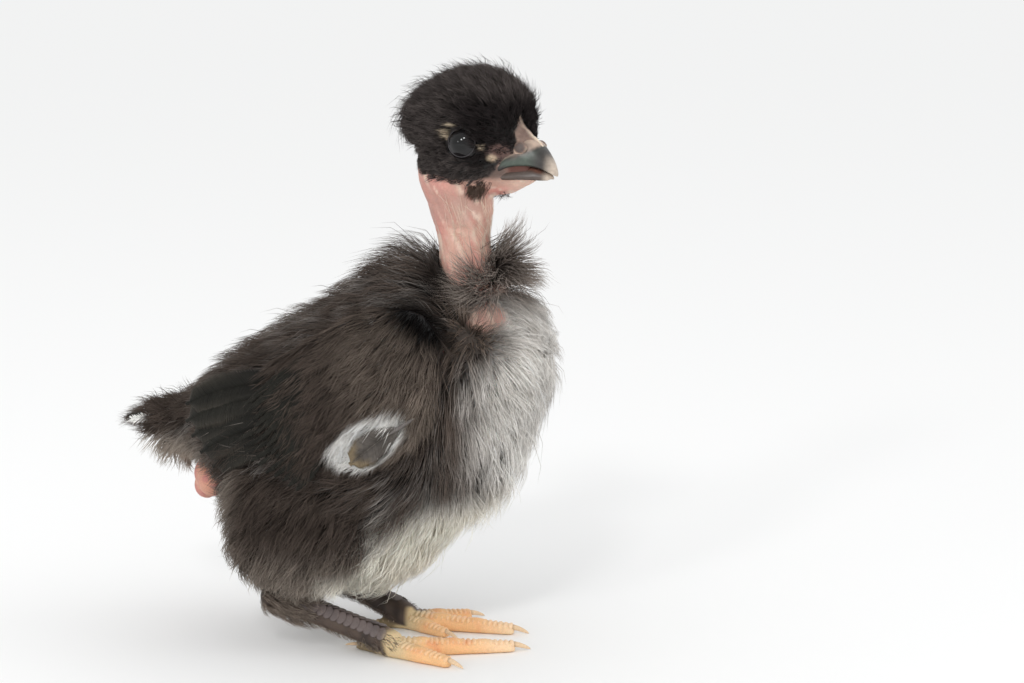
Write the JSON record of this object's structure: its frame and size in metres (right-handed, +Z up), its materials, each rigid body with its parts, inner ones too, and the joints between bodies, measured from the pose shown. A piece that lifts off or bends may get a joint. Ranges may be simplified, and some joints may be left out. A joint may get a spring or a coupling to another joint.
{
  "type": "turken chick",
  "caption": "Standing naked-neck chick in grey-brown down, with a bare pink neck and throat, a tuft at its base, a dark cap, first wing feathers and orange toes.",
  "frame": {"origin": "on the floor, at the middle of the bounding box's base", "axes": "+X is the way the body faces, +Y is the chick's left, +Z is up"},
  "size_m": [0.1092, 0.0648, 0.1344],
  "materials": {
    "down_grey": "soft matt down",
    "down_dark": "soft matt down",
    "vane_dark": "silky feather",
    "skin_pink": "bare skin",
    "horn_dark": "satin horn",
    "comb_pale": "bare skin",
    "eye_dark": "wet gloss",
    "shank_slate": "scaly skin",
    "toe_orange": "scaly skin",
    "claw_horn": "satin horn"
  },
  "bodies": {
    "root": {"torso": "down_grey", "neck": "skin_pink", "head": "down_dark", "eye_left": "eye_dark", "eye_right": "eye_dark", "beak_upper": "horn_dark", "beak_lower": "horn_dark", "comb": "comb_pale", "wing_left": "vane_dark", "wing_right": "vane_dark", "tail": "vane_dark", "vent": "skin_pink", "thigh_left": "down_grey", "thigh_right": "down_grey", "shank_left": "shank_slate", "shank_right": "shank_slate", "toe_hallux_left": "toe_orange", "toe_inner_left": "toe_orange", "toe_middle_left": "toe_orange", "toe_outer_left": "toe_orange", "toe_hallux_right": "toe_orange", "toe_inner_right": "toe_orange", "toe_middle_right": "toe_orange", "toe_outer_right": "toe_orange", "claw_hallux_left": "claw_horn", "claw_inner_left": "claw_horn", "claw_middle_left": "claw_horn", "claw_outer_left": "claw_horn", "claw_hallux_right": "claw_horn", "claw_inner_right": "claw_horn", "claw_middle_right": "claw_horn", "claw_outer_right": "claw_horn"}
  },
  "joints": []
}
